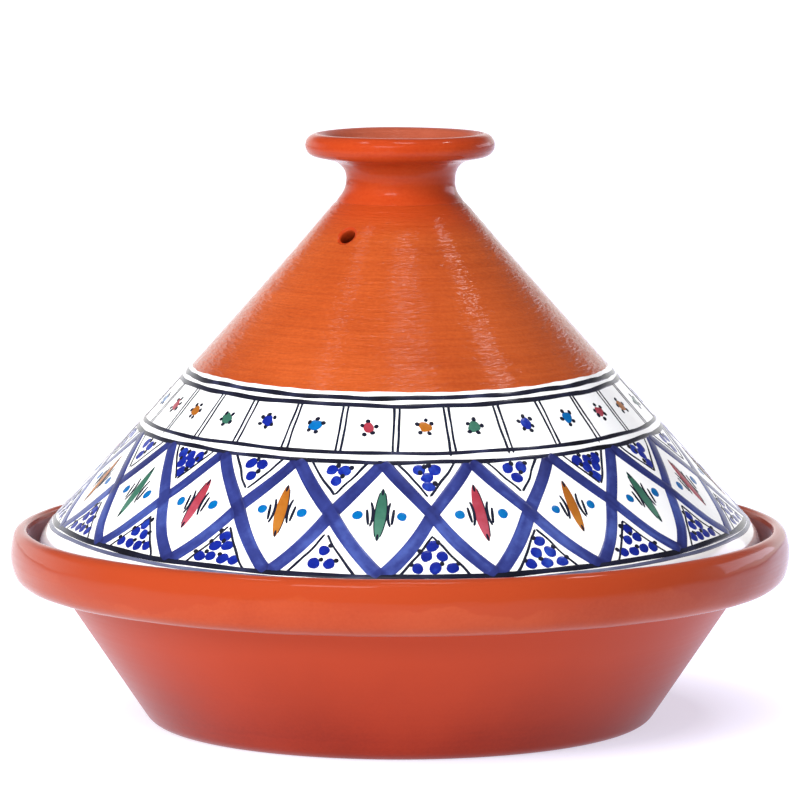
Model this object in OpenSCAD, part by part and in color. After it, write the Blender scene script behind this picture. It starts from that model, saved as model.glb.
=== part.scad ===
// Tagine: a wide terracotta cooking dish with a conical lid, both thrown on a wheel.
// The lid drops into a gallery turned inside the dish's rim. Its knob was thrown on its own
// and stuck to the top of the cone with slip, so it is a third piece of clay.
// Millimetres, +Z up. The origin is the centre of the ring that the dish stands on.
// Every outline is a half section in (radius, height), turned about the Z axis.

/* [Dish] */
// Outside radius of the rim band at its widest
rim_r = 155.85; // [152:0.05:160]
// Height of the rim's crest above the table
rim_top_z = 78.5; // [77.5:0.1:80]
// Height of the rim band's underside
rim_under_z = 56; // [54:0.1:57]
// Radius of the ring that touches the table
foot_r = 95.2; // [92:0.1:97]
// Lean of the dish's wall, outward from upright
wall_lean = 34; // [33:0.1:34.5]
// Thickness of the dish's wall
wall_t = 8; // [7:0.5:9]
// Thickness of the dish's floor
floor_t = 9; // [7:0.5:11]
// Height of the gallery that the lid sits on
seat_z = 64; // [63:0.1:65]

/* [Lid] */
// Room between the lid's foot and the top of the gallery's wall, all round
lid_play = 3.5; // [3:0.1:4]
// Gap between the lid's foot and its seat
lid_gap = 0.3; // [0.2:0.05:0.5]
// Lean of the cone's side, inward from upright
cone_lean = 41.8; // [41.4:0.1:42.4]
// Radius of the bend from the cone into its upright foot
foot_bend_r = 21.4; // [19:0.1:24]
// Depth by which the cone's side is drawn in at mid-height
cone_hollow = 0.8; // [0:0.1:1.5]
// Thickness of the lid's wall
lid_t = 7; // [6:0.5:8]

/* [Steam vent] */
// Diameter of the vent
vent_d = 6.3; // [4.5:0.1:8]
// Distance of the vent below the knob's joint
vent_drop = 11.4; // [11:0.1:20]
// Turn of the vent about the axis, from the front towards the left
vent_turn = 36; // [0:1:90]

/* [Knob] */
// Radius of the cone's top, where the knob is stuck on
joint_r = 25.6; // [25:0.1:26]
// Height of the knob above its joint
knob_h = 27.2; // [27:0.1:30]
// Radius of the knob's waist
waist_r = 21.9; // [21.6:0.1:22.4]
// Outside radius of the knob's flange
knob_r = 38; // [36:0.1:39]
// Radius of the flange's rounded edge
knob_edge_r = 4.9; // [4.5:0.1:5]
// Depth of the knob's hollow
cup_depth = 17.2; // [12:0.1:19]

/* [Hidden] */
$fn = 128;
arc_step = 6; // most degrees between the points of an arc

// Underside of the dish
recess_h = 1.6; // depth of the turned recess inside the standing ring
ring_w = 7; // width of the standing ring
heel_r = 8; // round between the standing ring and the wall

// Rim band
face_r = 22; // bulge of the band's outer face
face_z = 68.3; // height at which the band is widest
face_c = [rim_r - face_r, face_z];
lip_under_r = 7; // round under the band
lip_top_r = 4.5; // round from the outer face to the crest
lip_inner_r = 1.9; // round from the crest into the gallery
under_fillet = 4; // inside corner between the wall and the band

// Centre of a circle of radius r at height z that touches the band's bulge from inside
function inside_bulge(r, z) = [face_c[0] + sqrt(pow(face_r - r, 2) - pow(z - face_z, 2)), z];

lip_under_c = inside_bulge(lip_under_r, rim_under_z + lip_under_r);
lip_top_c = inside_bulge(lip_top_r, rim_top_z - lip_top_r);

// Gallery
gallery_r = lip_top_c[0] - lip_inner_r;
gallery_taper = 1; // narrowing of the gallery towards its seat
gallery_fillet = 2; // inside corner between gallery and seat
seat_edge_r = 2.5; // edge of the seat over the cooking space

// Cooking floor
floor_z = recess_h + floor_t;
floor_fillet = 14; // inside corner between wall and floor

// Lid
lid_foot_r = gallery_r - lid_play;
foot_z = seat_z + lid_gap;
foot_edge_r = 2; // both edges of the lid's foot
bend_c = [lid_foot_r - foot_bend_r, foot_z + foot_edge_r];
cone_base = bend_c + foot_bend_r * [cos(cone_lean), sin(cone_lean)];
joint_z = cone_base[1] + (cone_base[0] - joint_r) / tan(cone_lean);
dome_r = 12; // round inside the top of the cone
cone_steps = 8; // straight steps that make up the cone's drawn-in side

// Knob
knob_top_z = joint_z + knob_h;
flange_c = [knob_r - knob_edge_r, knob_top_z - knob_edge_r];
flange_rise = 12; // slope of the flange's underside, up towards its edge
waist_low_r = 9; // sweep from the cone into the waist
waist_high_r = 7.5; // sweep from the waist out under the flange

// Points of an arc about c from angle a to angle b, ends included
function arc(c, r, a, b) =
    let (n = ceil(abs(b - a) / arc_step))
    [for (i = [0:n]) let (t = a + (b - a) * i / n) c + r * [cos(t), sin(t)]];

// Direction of p as seen from the centre of the band's bulge
function bulge_angle(p) = atan2(p[1] - face_c[1], p[0] - face_c[0]);

// Radius of the dish's wall at height z, outside and inside
function wall_out(z) = foot_r + heel_r * (1 / cos(wall_lean) - tan(wall_lean)) + z * tan(wall_lean);
function wall_in(z) = wall_out(z) - wall_t / cos(wall_lean);

// Radius of the cone's side at height z, outside and inside
function cone_part(z) = (z - cone_base[1]) / (joint_z - cone_base[1]);
function cone_out(z) =
    cone_base[0] - (z - cone_base[1]) * tan(cone_lean)
    - 4 * cone_hollow * cone_part(z) * (1 - cone_part(z));
function cone_in(z) = cone_out(z) - lid_t / cos(cone_lean);

// The dish's section, from the middle of its underside round the outside to the cooking floor
module dish_section() {
    ring_in_r = foot_r - ring_w;
    corner_z = rim_under_z - under_fillet;
    corner_c = [wall_out(corner_z) + under_fillet / cos(wall_lean), corner_z];
    gallery_foot_c = [gallery_r - gallery_taper - gallery_fillet, seat_z + gallery_fillet];
    edge_z = seat_z - seat_edge_r;
    edge_c = [wall_in(edge_z) + seat_edge_r / cos(wall_lean), edge_z];
    pan_z = floor_z + floor_fillet;
    pan_c = [wall_in(pan_z) - floor_fillet / cos(wall_lean), pan_z];
    polygon(concat(
        [[0, recess_h], [ring_in_r - recess_h, recess_h], [ring_in_r, 0]],
        arc([foot_r, heel_r], heel_r, -90, -wall_lean),
        arc(corner_c, under_fillet, 180 - wall_lean, 90),
        arc(lip_under_c, lip_under_r, -90, bulge_angle(lip_under_c)),
        arc(face_c, face_r, bulge_angle(lip_under_c), bulge_angle(lip_top_c)),
        arc(lip_top_c, lip_top_r, bulge_angle(lip_top_c), 90),
        arc([gallery_r + lip_inner_r, rim_top_z - lip_inner_r], lip_inner_r, 90, 180),
        arc(gallery_foot_c, gallery_fillet, 0, -90),
        arc(edge_c, seat_edge_r, 90, 180 - wall_lean),
        arc(pan_c, floor_fillet, -wall_lean, -90),
        [[0, floor_z]]
    ));
}

// The cone's section, from its foot up the outside to the flat that carries the knob, and back inside
module cone_section() {
    dome_z = joint_z - lid_t - dome_r;
    dome_c = [cone_in(dome_z) - dome_r / cos(cone_lean), dome_z];
    side_z = [for (i = [1:cone_steps - 1]) cone_base[1] + (joint_z - cone_base[1]) * i / cone_steps];
    inside_z = [for (i = [cone_steps - 2:-1:0]) if (side_z[i] < dome_z) side_z[i]];
    inner_foot_r = lid_foot_r - lid_t + foot_edge_r;
    polygon(concat(
        arc([lid_foot_r - foot_edge_r, foot_z + foot_edge_r], foot_edge_r, -90, 0),
        arc(bend_c, foot_bend_r, 0, cone_lean),
        [for (z = side_z) [cone_out(z), z]],
        [[joint_r, joint_z], [0, joint_z], [0, joint_z - lid_t]],
        arc(dome_c, dome_r, 90, cone_lean),
        [for (z = inside_z) [cone_in(z), z]],
        arc(bend_c, foot_bend_r - lid_t, cone_lean, 0),
        arc([inner_foot_r, foot_z + foot_edge_r], foot_edge_r, 180, 270)
    ));
}

// The knob's section, from its stuck face up the waist, round the flange and down into its hollow
module knob_section() {
    sweep_r = waist_r + waist_low_r * (1 - cos(cone_lean));
    sweep_z = joint_z + (joint_r - sweep_r) / tan(cone_lean);
    low_c = [waist_r + waist_low_r, sweep_z + waist_low_r * sin(cone_lean)];
    // The flange's underside is a slope that touches both the upper sweep and the flange's round
    high_r = waist_r + waist_high_r;
    slope_drop = (knob_edge_r + waist_high_r + (flange_c[0] - high_r) * sin(flange_rise)) / cos(flange_rise);
    high_c = [high_r, flange_c[1] - slope_drop];
    // The hollow is the bottom of a ball that touches the flange's round
    cup_floor_z = knob_top_z - cup_depth;
    cup_drop = flange_c[1] - cup_floor_z;
    cup_r = (pow(flange_c[0], 2) + pow(cup_drop, 2) - pow(knob_edge_r, 2)) / (2 * (cup_drop + knob_edge_r));
    cup_c = [0, cup_floor_z + cup_r];
    cup_angle = atan2(cup_c[1] - flange_c[1], -flange_c[0]);
    polygon(concat(
        [[0, joint_z], [joint_r, joint_z]],
        arc(low_c, waist_low_r, 180 + cone_lean, 180),
        arc(high_c, waist_high_r, 180, 90 + flange_rise),
        arc(flange_c, knob_edge_r, flange_rise - 90, cup_angle),
        arc(cup_c, cup_r, cup_angle - 180, -90)
    ));
}

module dish() {
    color("chocolate") rotate_extrude() dish_section();
}

module lid_cone() {
    vent_z = joint_z - vent_drop;
    color("ivory") difference() {
        rotate_extrude() cone_section();
        // The vent is bored square to the cone's side
        rotate(-90 - vent_turn) translate([cone_out(vent_z), 0, vent_z])
            rotate([0, 90 - cone_lean, 0]) cylinder(h = 4 * lid_t, d = vent_d, center = true);
    }
}

module lid_knob() {
    color("coral") rotate_extrude() knob_section();
}

dish();
lid_cone();
lid_knob();
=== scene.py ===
"""A terracotta tagine with a hand-painted lid: the visual model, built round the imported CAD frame.

The frame is in metres, +Z up, with the front of the pot towards -Y. Outlines and paint are worked out
in millimetres and turned into metres when a mesh is made. A turn is an angle about the Z axis, 0 at
the front and positive towards +X. A height is measured from the table.
"""

import math
import random

import bpy
import numpy as np
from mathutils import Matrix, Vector


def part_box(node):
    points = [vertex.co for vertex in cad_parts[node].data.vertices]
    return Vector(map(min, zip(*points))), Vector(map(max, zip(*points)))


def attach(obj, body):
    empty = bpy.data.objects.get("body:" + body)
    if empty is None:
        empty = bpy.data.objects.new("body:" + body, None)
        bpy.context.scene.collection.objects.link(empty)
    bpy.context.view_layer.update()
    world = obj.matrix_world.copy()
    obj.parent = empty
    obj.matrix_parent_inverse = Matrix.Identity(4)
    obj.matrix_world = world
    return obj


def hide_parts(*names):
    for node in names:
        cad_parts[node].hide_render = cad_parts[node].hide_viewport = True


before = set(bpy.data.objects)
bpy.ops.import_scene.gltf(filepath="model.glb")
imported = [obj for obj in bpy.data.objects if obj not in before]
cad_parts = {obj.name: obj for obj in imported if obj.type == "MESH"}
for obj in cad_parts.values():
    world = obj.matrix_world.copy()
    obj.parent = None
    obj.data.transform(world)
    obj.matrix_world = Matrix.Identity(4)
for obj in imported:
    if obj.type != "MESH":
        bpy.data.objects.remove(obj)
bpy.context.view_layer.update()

MM = 0.001
rng = random.Random(20)


# ---------------------------------------- camera

CAMERA_DISTANCE = 2.300  # in front of the pot's axis
CAMERA_HEIGHT = 0.397
CAMERA_PITCH = 6.664  # degrees below level
CAMERA_LENS = 261.2  # mm, on a 36 mm sensor


def make_camera():
    data = bpy.data.cameras.new("camera")
    data.lens = CAMERA_LENS
    data.sensor_width = 36.0
    data.clip_end = 60.0
    camera = bpy.data.objects.new("camera", data)
    camera.location = (0.0, -CAMERA_DISTANCE, CAMERA_HEIGHT)
    camera.rotation_euler = (math.radians(90.0 - CAMERA_PITCH), 0.0, 0.0)
    bpy.context.scene.collection.objects.link(camera)
    bpy.context.scene.camera = camera


make_camera()


# ---------------------------------------- dimensions of the pottery, mm

dish_high = [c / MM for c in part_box("dish")[1]]
cone_low, cone_high = [[c / MM for c in corner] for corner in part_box("lid_cone")]
knob_high = [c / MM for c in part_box("lid_knob")[1]]

# Dish
RIM_R, RIM_TOP, RIM_UNDER = dish_high[0], dish_high[2], 56.0
FACE_Z, FACE_R = 68.3, 22.0  # the band's bulge: height of its widest place, and its radius
LIP_UNDER_R, LIP_TOP_R, LIP_INNER_R = 7.0, 4.5, 1.9
UNDER_FILLET = 4.0
FOOT_R, HEEL_R, RING_W, RECESS = 95.2, 8.0, 7.0, 1.6
WALL_LEAN, WALL_T = 34.0, 8.0
FLOOR_Z, FLOOR_FILLET = 10.6, 14.0
SEAT_Z, SEAT_EDGE_R, GALLERY_FILLET, GALLERY_TAPER = 64.0, 2.5, 2.0, 1.0

# Lid
LID_FOOT_R, FOOT_Z, JOINT_Z = cone_high[0], cone_low[2], cone_high[2]
FOOT_EDGE_R, BEND_R, LID_T = 2.0, 21.4, 7.0
CONE_LEAN, CONE_HOLLOW = 41.8, 0.8
JOINT_R, DOME_R = 25.6, 12.0
VENT_R, VENT_TURN, VENT_DROP = 3.15, -36.0, 11.4

# Knob
KNOB_R, KNOB_TOP = knob_high[0], knob_high[2]
KNOB_EDGE_R, FLANGE_RISE, CUP_DEPTH = 4.9, 12.0, 17.2
WAIST_R, WAIST_LOW_R, WAIST_HIGH_R = 21.9, 9.0, 7.5
LIP_FROM = 84.0  # where the hollow's duller glaze starts, in degrees up round the flange's edge; from there the clay is also painted lighter and greyer, a painted haze of light


# ---------------------------------------- outlines, as (radius, height) in mm

def cosd(a):
    return math.cos(math.radians(a))


def sind(a):
    return math.sin(math.radians(a))


def tand(a):
    return math.tan(math.radians(a))


def arc(centre, radius, start, end, step=7.0):
    """Points of an arc from angle start to end, both included."""
    count = max(1, math.ceil(abs(end - start) / step))
    angles = [start + (end - start) * i / count for i in range(count + 1)]
    return [(centre[0] + radius * cosd(a), centre[1] + radius * sind(a)) for a in angles]


def resample(points, spacing):
    """The same line with no step longer than spacing."""
    out = [points[0]]
    for a, b in zip(points, points[1:]):
        count = max(1, math.ceil(math.dist(a, b) / spacing))
        out += [(a[0] + (b[0] - a[0]) * i / count, a[1] + (b[1] - a[1]) * i / count)
                for i in range(1, count + 1)]
    return out


def join_sections(*sections):
    """One outline from named sections: its points without repeats, and the section of each point."""
    points, names = [], []
    for name, line in sections:
        for p in line:
            if not points or math.dist(points[-1], p) > 0.01:
                points.append((float(p[0]), float(p[1])))
                names.append(name)
    return np.array(points), np.array(names)


def inside_bulge(radius, z):
    """Centre of a circle at height z that touches the rim band's bulge from inside."""
    return (RIM_R - FACE_R + math.sqrt((FACE_R - radius) ** 2 - (z - FACE_Z) ** 2), z)


def bulge_angle(p):
    return math.degrees(math.atan2(p[1] - FACE_Z, p[0] - RIM_R + FACE_R))


def wall_out(z):
    return FOOT_R + HEEL_R * (1 / cosd(WALL_LEAN) - tand(WALL_LEAN)) + z * tand(WALL_LEAN)


def wall_in(z):
    return wall_out(z) - WALL_T / cosd(WALL_LEAN)


def dish_outline():
    """From the middle of the underside, round the outside, to the middle of the cooking floor."""
    under_c = inside_bulge(LIP_UNDER_R, RIM_UNDER + LIP_UNDER_R)
    crest_c = inside_bulge(LIP_TOP_R, RIM_TOP - LIP_TOP_R)
    gallery_r = crest_c[0] - LIP_INNER_R
    corner_z = RIM_UNDER - UNDER_FILLET
    corner_c = (wall_out(corner_z) + UNDER_FILLET / cosd(WALL_LEAN), corner_z)
    seat_c = (gallery_r - GALLERY_TAPER - GALLERY_FILLET, SEAT_Z + GALLERY_FILLET)
    edge_z = SEAT_Z - SEAT_EDGE_R
    edge_c = (wall_in(edge_z) + SEAT_EDGE_R / cosd(WALL_LEAN), edge_z)
    pan_z = FLOOR_Z + FLOOR_FILLET
    pan_c = (wall_in(pan_z) - FLOOR_FILLET / cosd(WALL_LEAN), pan_z)
    ring_in = FOOT_R - RING_W
    underside = [
        (0, RECESS), (ring_in - 2 * RECESS, RECESS), (ring_in - 0.4, 0.3), (ring_in, 0), (FOOT_R, 0),
    ]
    corner = arc(corner_c, UNDER_FILLET, 180 - WALL_LEAN, 90, 12)
    wall = arc((FOOT_R, HEEL_R), HEEL_R, -90, -WALL_LEAN) + [corner[0]]
    band = (
        corner
        + arc(under_c, LIP_UNDER_R, -90, bulge_angle(under_c))
        + arc((RIM_R - FACE_R, FACE_Z), FACE_R, bulge_angle(under_c), bulge_angle(crest_c), 3)
        + arc(crest_c, LIP_TOP_R, bulge_angle(crest_c), 90, 9)
        + arc((crest_c[0], RIM_TOP - LIP_INNER_R), LIP_INNER_R, 90, 180, 15)
    )
    gallery = [band[-1]] + arc(seat_c, GALLERY_FILLET, 0, -90, 15)
    pan = (
        [gallery[-1]]
        + arc(edge_c, SEAT_EDGE_R, 90, 180 - WALL_LEAN, 15)
        + arc(pan_c, FLOOR_FILLET, -WALL_LEAN, -90)
        + [(0, FLOOR_Z)]
    )
    return join_sections(
        ("underside", resample(underside, 3.0)),
        ("wall", resample(wall, 1.6)),
        ("band", resample(band, 1.2)),
        ("gallery", resample(gallery, 1.2)),
        ("pan", resample(pan, 3.0)),
    )


BEND_C = (LID_FOOT_R - BEND_R, FOOT_Z + FOOT_EDGE_R)
CONE_BASE = (BEND_C[0] + BEND_R * cosd(CONE_LEAN), BEND_C[1] + BEND_R * sind(CONE_LEAN))


def lid_radius(z):
    """Radius of the lid's outside at height z, on the cone or on the bend into the foot."""
    z = np.asarray(z, float)
    part = (z - CONE_BASE[1]) / (JOINT_Z - CONE_BASE[1])
    cone = CONE_BASE[0] - (z - CONE_BASE[1]) * tand(CONE_LEAN) - 4 * CONE_HOLLOW * part * (1 - part)
    rise = np.clip((z - BEND_C[1]) / BEND_R, -1, 1)
    return np.where(z > CONE_BASE[1], cone, BEND_C[0] + BEND_R * np.sqrt(1 - rise ** 2))


def lid_facing(z):
    """Angle above level, in radians, at which the lid's outside faces at height z."""
    return np.arcsin(np.clip((np.asarray(z, float) - BEND_C[1]) / BEND_R, 0, sind(CONE_LEAN)))


def joint_dip(r, z):
    """A point of the outside, drawn in by the shallow groove that was wiped round the knob's joint."""
    return (r - 0.4 * math.exp(-((z - JOINT_Z) / 0.9) ** 2), z)


FINE_FROM = 138.0  # above this height no white glaze hides the turned rows, so they are finer
FINE_STEP, GLAZED_STEP = 0.55, 2.4  # row heights above and below it


def lid_outline():
    """From the middle of the ceiling, down the inside, round the foot and up the outside to the flat
    that carries the knob."""
    thickness = LID_T / cosd(CONE_LEAN)
    dome_z = JOINT_Z - LID_T - DOME_R
    dome_c = (float(lid_radius(dome_z)) - thickness - DOME_R / cosd(CONE_LEAN), dome_z)
    dome = arc(dome_c, DOME_R, 90, CONE_LEAN, 8)
    inner_z = np.linspace(dome[-1][1], CONE_BASE[1], 50)
    inside = [(0, JOINT_Z - LID_T)] + dome
    inside += [(float(lid_radius(z)) - thickness, z) for z in inner_z[1:-1]]
    inside += arc(BEND_C, BEND_R - LID_T, CONE_LEAN, 0, 6)
    foot = arc((LID_FOOT_R - LID_T + FOOT_EDGE_R, FOOT_Z + FOOT_EDGE_R), FOOT_EDGE_R, 180, 270, 15)
    foot += arc((LID_FOOT_R - FOOT_EDGE_R, FOOT_Z + FOOT_EDGE_R), FOOT_EDGE_R, -90, 0, 15)
    heights = list(np.arange(CONE_BASE[1], FINE_FROM, GLAZED_STEP))
    heights += list(np.arange(FINE_FROM, JOINT_Z - 0.5, FINE_STEP))
    heights += [JOINT_Z - 0.2]
    outside = arc(BEND_C, BEND_R, 0, CONE_LEAN, 6) + [joint_dip(float(lid_radius(z)), z) for z in heights]
    edge = joint_dip(JOINT_R, JOINT_Z)
    top = [edge, (edge[0] - 0.3, JOINT_Z), (JOINT_R - 6, JOINT_Z), (0, JOINT_Z)]
    return join_sections(
        ("inside", resample(inside, 4.0)),
        ("foot", resample(foot, 1.5)),
        ("outside", outside),
        ("outside", resample(top, 4.0)),
    )


def knob_outline():
    """From the middle of the stuck face, up the waist, round the flange and down into the hollow."""
    sweep_r = WAIST_R + WAIST_LOW_R * (1 - cosd(CONE_LEAN))
    sweep_z = JOINT_Z + (JOINT_R - sweep_r) / tand(CONE_LEAN)
    low_c = (WAIST_R + WAIST_LOW_R, sweep_z + WAIST_LOW_R * sind(CONE_LEAN))
    flange_c = (KNOB_R - KNOB_EDGE_R, KNOB_TOP - KNOB_EDGE_R)
    high_r = WAIST_R + WAIST_HIGH_R
    slope = (KNOB_EDGE_R + WAIST_HIGH_R + (flange_c[0] - high_r) * sind(FLANGE_RISE)) / cosd(FLANGE_RISE)
    high_c = (high_r, flange_c[1] - slope)
    drop = flange_c[1] - (KNOB_TOP - CUP_DEPTH)
    cup_r = (flange_c[0] ** 2 + drop ** 2 - KNOB_EDGE_R ** 2) / (2 * (drop + KNOB_EDGE_R))
    cup_c = (0, KNOB_TOP - CUP_DEPTH + cup_r)
    cup_angle = math.degrees(math.atan2(cup_c[1] - flange_c[1], -flange_c[0]))
    above_joint = (JOINT_R - 0.2 * tand(CONE_LEAN), JOINT_Z + 0.2)
    outside = (
        [(JOINT_R, JOINT_Z), above_joint]
        + arc(low_c, WAIST_LOW_R, 180 + CONE_LEAN, 180, 5)
        + arc(high_c, WAIST_HIGH_R, 180, 90 + FLANGE_RISE, 5)
        + arc(flange_c, KNOB_EDGE_R, FLANGE_RISE - 90, LIP_FROM, 7)
    )
    outside = [joint_dip(r, z) for r, z in resample(outside, 0.7)]
    lip = arc(flange_c, KNOB_EDGE_R, LIP_FROM, cup_angle, 7)
    stuck = [(0, JOINT_Z), (JOINT_R - 4, JOINT_Z), (outside[0][0] - 0.3, JOINT_Z), outside[0]]
    cup = arc(cup_c, cup_r, cup_angle - 180, -90, 1.6)
    return join_sections(
        ("stuck", resample(stuck, 4.0)),
        ("outside", outside),
        ("lip", resample(lip, 0.7)),
        ("cup", resample(cup, 1.0)),
    )


# ---------------------------------------- meshes

def make_object(name, points_mm, faces, materials, body, slot, face_materials=None):
    mesh = bpy.data.meshes.new(name)
    mesh.from_pydata((np.asarray(points_mm) * MM).tolist(), [], faces)
    mesh.update()
    mesh.polygons.foreach_set("use_smooth", [True] * len(mesh.polygons))
    for material in materials:
        mesh.materials.append(material)
    if face_materials is not None:
        mesh.polygons.foreach_set("material_index", face_materials)
    obj = bpy.data.objects.new(name, mesh)
    bpy.context.scene.collection.objects.link(obj)
    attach(obj, body)
    return obj


def turned(turn, radius, z):
    """Points in space from turns in radians, radii and heights."""
    turn, radius, z = np.broadcast_arrays(turn, radius, z)
    return np.stack([radius * np.sin(turn), -radius * np.cos(turn), z], -1)


def quads(a, b, count):
    """Faces between two closed rows of count points, which start at the indices a and b."""
    return [(a + j, a + (j + 1) % count, b + (j + 1) % count, b + j) for j in range(count)]


def lathe(outline, segments, relief):
    """A turned body whose outline starts and ends on the axis: its points, its faces and the outline
    row that each face starts from. relief(turn, r, z) is how far each point moves outwards."""
    ahead = np.gradient(outline, axis=0)
    ahead /= np.linalg.norm(ahead, axis=1)[:, None]
    body = outline[1:-1]
    out_r, out_z = ahead[1:-1, 1][:, None], -ahead[1:-1, 0][:, None]
    turn = np.linspace(-math.pi, math.pi, segments, endpoint=False)[None, :]
    r, z = body[:, 0][:, None], body[:, 1][:, None]
    push = relief(turn, r, z) * np.clip(r / 6.0, 0, 1)
    rings = turned(turn, r + push * out_r, z + push * out_z).reshape(-1, 3)
    points = np.concatenate([[(0, 0, outline[0][1])], rings, [(0, 0, outline[-1][1])]])
    rows, last = len(body), len(points) - 1
    faces, face_rows = [], []
    for j in range(segments):
        k = (j + 1) % segments
        faces.append((0, 1 + k, 1 + j))
        faces.append((last, last - segments + j, last - segments + k))
        face_rows += [0, rows]
    for i in range(rows - 1):
        faces += quads(1 + i * segments, 1 + (i + 1) * segments, segments)
        face_rows += [i + 1] * segments
    return points, faces, face_rows


def hoop(outline, segments, place):
    """A closed loop swept round the axis. place(turn, outline) gives its points in space at a turn."""
    turns = np.linspace(-math.pi, math.pi, segments, endpoint=False)
    points = np.concatenate([place(t, outline) for t in turns])
    n = len(outline)
    faces = []
    for j in range(segments):
        a, b = j * n, (j + 1) % segments * n
        faces += [(a + i, b + i, b + (i + 1) % n, a + (i + 1) % n) for i in range(n)]
    return points, faces


def waves(turn, terms):
    """A slow unevenness round the pot: terms holds (waves per turn, size in mm, phase)."""
    return sum(size * np.cos(count * turn + phase) for count, size, phase in terms)


# ---------------------------------------- materials

def add_node(tree, kind, inputs=None, **settings):
    node = tree.nodes.new(kind)
    for key, value in settings.items():
        setattr(node, key, value)
    for key, value in (inputs or {}).items():
        if isinstance(value, bpy.types.NodeSocket):
            tree.links.new(value, node.inputs[key])
        else:
            node.inputs[key].default_value = value
    return node


def maths(tree, operation, a, b, c=0.0):
    return add_node(tree, "ShaderNodeMath", {0: a, 1: b, 2: c}, operation=operation).outputs[0]


def rgb(red, green, blue):
    """A colour given in sRGB, 0 to 255, as the linear values that a socket holds."""
    shares = [c / 255 for c in (red, green, blue)]
    linear = [s / 12.92 if s <= 0.04045 else ((s + 0.055) / 1.055) ** 2.4 for s in shares]
    return (*linear, 1.0)


def grey(value):
    return (value, value, value, 1.0)


def ramp(tree, value, stops):
    """A colour that runs through stops, each (place, colour), as value goes from 0 to 1."""
    node = add_node(tree, "ShaderNodeValToRGB", {"Fac": value})
    elements = node.color_ramp.elements
    elements[0].position, elements[0].color = stops[0]
    elements[1].position, elements[1].color = stops[-1]
    for place, colour in stops[1:-1]:
        elements.new(place).color = colour
    return node.outputs["Color"]


def mixed(tree, share, a, b):
    node = add_node(tree, "ShaderNodeMix", data_type="RGBA")
    for socket, value in ((node.inputs[0], share), (node.inputs[6], a), (node.inputs[7], b)):
        if isinstance(value, bpy.types.NodeSocket):
            tree.links.new(value, socket)
        else:
            socket.default_value = value
    return node.outputs[2]


def noise(tree, vector, scale, detail=3.0, roughness=0.5):
    return add_node(tree, "ShaderNodeTexNoise", {
        "Vector": vector, "Scale": scale, "Detail": detail, "Roughness": roughness,
    }).outputs["Fac"]


def mapped(tree, value, start, end, low=0.0, high=1.0):
    """A number that runs from low to high, and no further, as value goes from start to end."""
    return add_node(tree, "ShaderNodeMapRange", {
        "Value": value, "From Min": start, "From Max": end, "To Min": low, "To Max": high,
    }).outputs[0]


def axis(tree, where, name):
    """One coordinate of a place: X, Y or Z."""
    return add_node(tree, "ShaderNodeSeparateXYZ", {"Vector": where}).outputs[name]


def vector_length(tree, where):
    return add_node(tree, "ShaderNodeVectorMath", {0: where}, operation="LENGTH").outputs["Value"]


def bump(tree, height, depth, below=None):
    """Bumps of a depth in mm, laid over the bumps of below."""
    inputs = {"Height": height, "Distance": depth * MM, "Strength": 1.0}
    if below is not None:
        inputs["Normal"] = below
    return add_node(tree, "ShaderNodeBump", inputs).outputs["Normal"]


def new_material(name, **sockets):
    """A material with a Principled shader: the material, its tree, the shader and object coordinates."""
    material = bpy.data.materials.new(name)
    material.use_nodes = True
    tree = material.node_tree
    shader = tree.nodes["Principled BSDF"]
    for key, value in sockets.items():
        shader.inputs[key.replace("_", " ")].default_value = value
    return material, tree, shader, add_node(tree, "ShaderNodeTexCoord").outputs["Object"]


def use_normal(tree, shader, normal):
    tree.links.new(normal, shader.inputs["Normal"])
    tree.links.new(normal, shader.inputs["Coat Normal"])


def turning_grain(tree, where, slope, around, along):
    """Coordinates for marks that run round the pot: slope is +1 where the surface opens upwards and -1
    where it closes, and along is how finely the marks are spaced."""
    parts = add_node(tree, "ShaderNodeSeparateXYZ", {"Vector": where})
    flat = add_node(tree, "ShaderNodeCombineXYZ", {"X": parts.outputs["X"], "Y": parts.outputs["Y"]})
    walk = maths(tree, "MULTIPLY_ADD", vector_length(tree, flat.outputs[0]), slope, parts.outputs["Z"])
    return add_node(tree, "ShaderNodeCombineXYZ", {
        "X": maths(tree, "MULTIPLY", parts.outputs["X"], around),
        "Y": maths(tree, "MULTIPLY", parts.outputs["Y"], around),
        "Z": maths(tree, "MULTIPLY", walk, along),
    }).outputs[0]


SHEEN_TINT = (0.92, 0.82, 1.0, 1.0)  # the lavender that a bright room leaves on clay


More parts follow.
